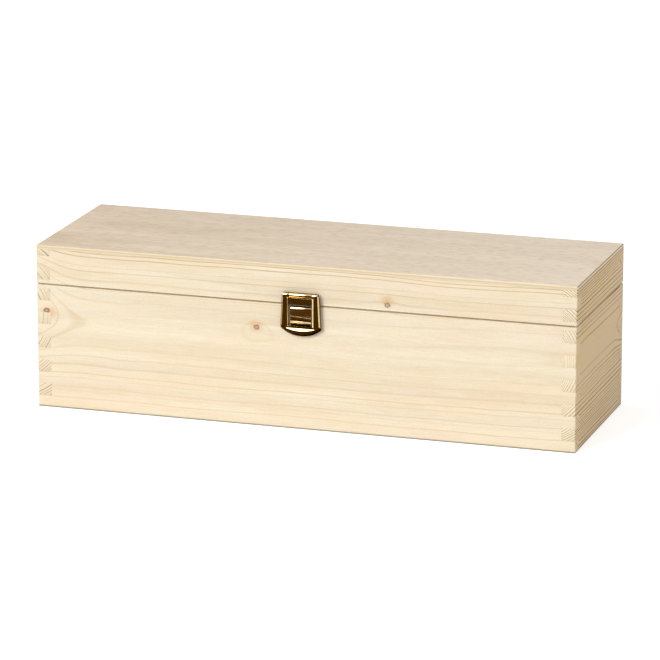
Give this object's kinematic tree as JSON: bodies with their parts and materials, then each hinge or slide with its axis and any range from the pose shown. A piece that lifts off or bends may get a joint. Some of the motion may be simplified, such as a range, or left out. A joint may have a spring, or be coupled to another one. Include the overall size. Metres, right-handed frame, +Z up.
{
  "type": "wooden wine box",
  "caption": "Long finger-jointed spruce box with a hinged sawn-off lid, plywood top and bottom, and a stamped brass-plated snap hasp, for one wine bottle.",
  "frame": {"origin": "middle of the flat underside of the base", "axes": "+Z up, front with the hasp towards -Y, +X along the length to the right seen from the front"},
  "size_m": [0.35, 0.1231, 0.105],
  "materials": {
    "spruce_long_board": "sanded, unfinished spruce, long grain along X",
    "spruce_end_board": "sanded, unfinished spruce, long grain along Y",
    "plywood": "sanded, unfinished three-ply panel",
    "brass_plated_steel": "stamped steel sheet, bright brass plated"
  },
  "bodies": {
    "box": {"base_front": "spruce_long_board", "base_rear": "spruce_long_board", "base_left_end": "spruce_end_board", "base_right_end": "spruce_end_board", "base_bottom": "plywood", "latch_catch": "brass_plated_steel", "catch_nails": "brass_plated_steel", "hinge_left_base_leaf": "brass_plated_steel", "hinge_right_base_leaf": "brass_plated_steel", "hinge_left_pin": "brass_plated_steel", "hinge_right_pin": "brass_plated_steel", "hinge_base_nails": "brass_plated_steel"},
    "lid": {"lid_front": "spruce_long_board", "lid_rear": "spruce_long_board", "lid_left_end": "spruce_end_board", "lid_right_end": "spruce_end_board", "lid_panel": "plywood", "hinge_left_lid_leaf": "brass_plated_steel", "hinge_right_lid_leaf": "brass_plated_steel", "hinge_lid_nails": "brass_plated_steel", "latch_leaf": "brass_plated_steel", "latch_leaf_nails": "brass_plated_steel", "latch_pin": "brass_plated_steel"},
    "flap": {"latch_flap": "brass_plated_steel"}
  },
  "joints": [
    {"name": "lid_hinge", "type": "hinge", "parent": "box", "child": "lid", "pos_m": [0, 0.0595, 0.07975], "axis": [-1, 0, 0], "range_deg": [0, 180]},
    {"name": "latch_hinge", "type": "hinge", "parent": "lid", "child": "flap", "pos_m": [0, -0.0595, 0.0862], "axis": [-1, 0, 0], "range_deg": [0, 165]}
  ]
}
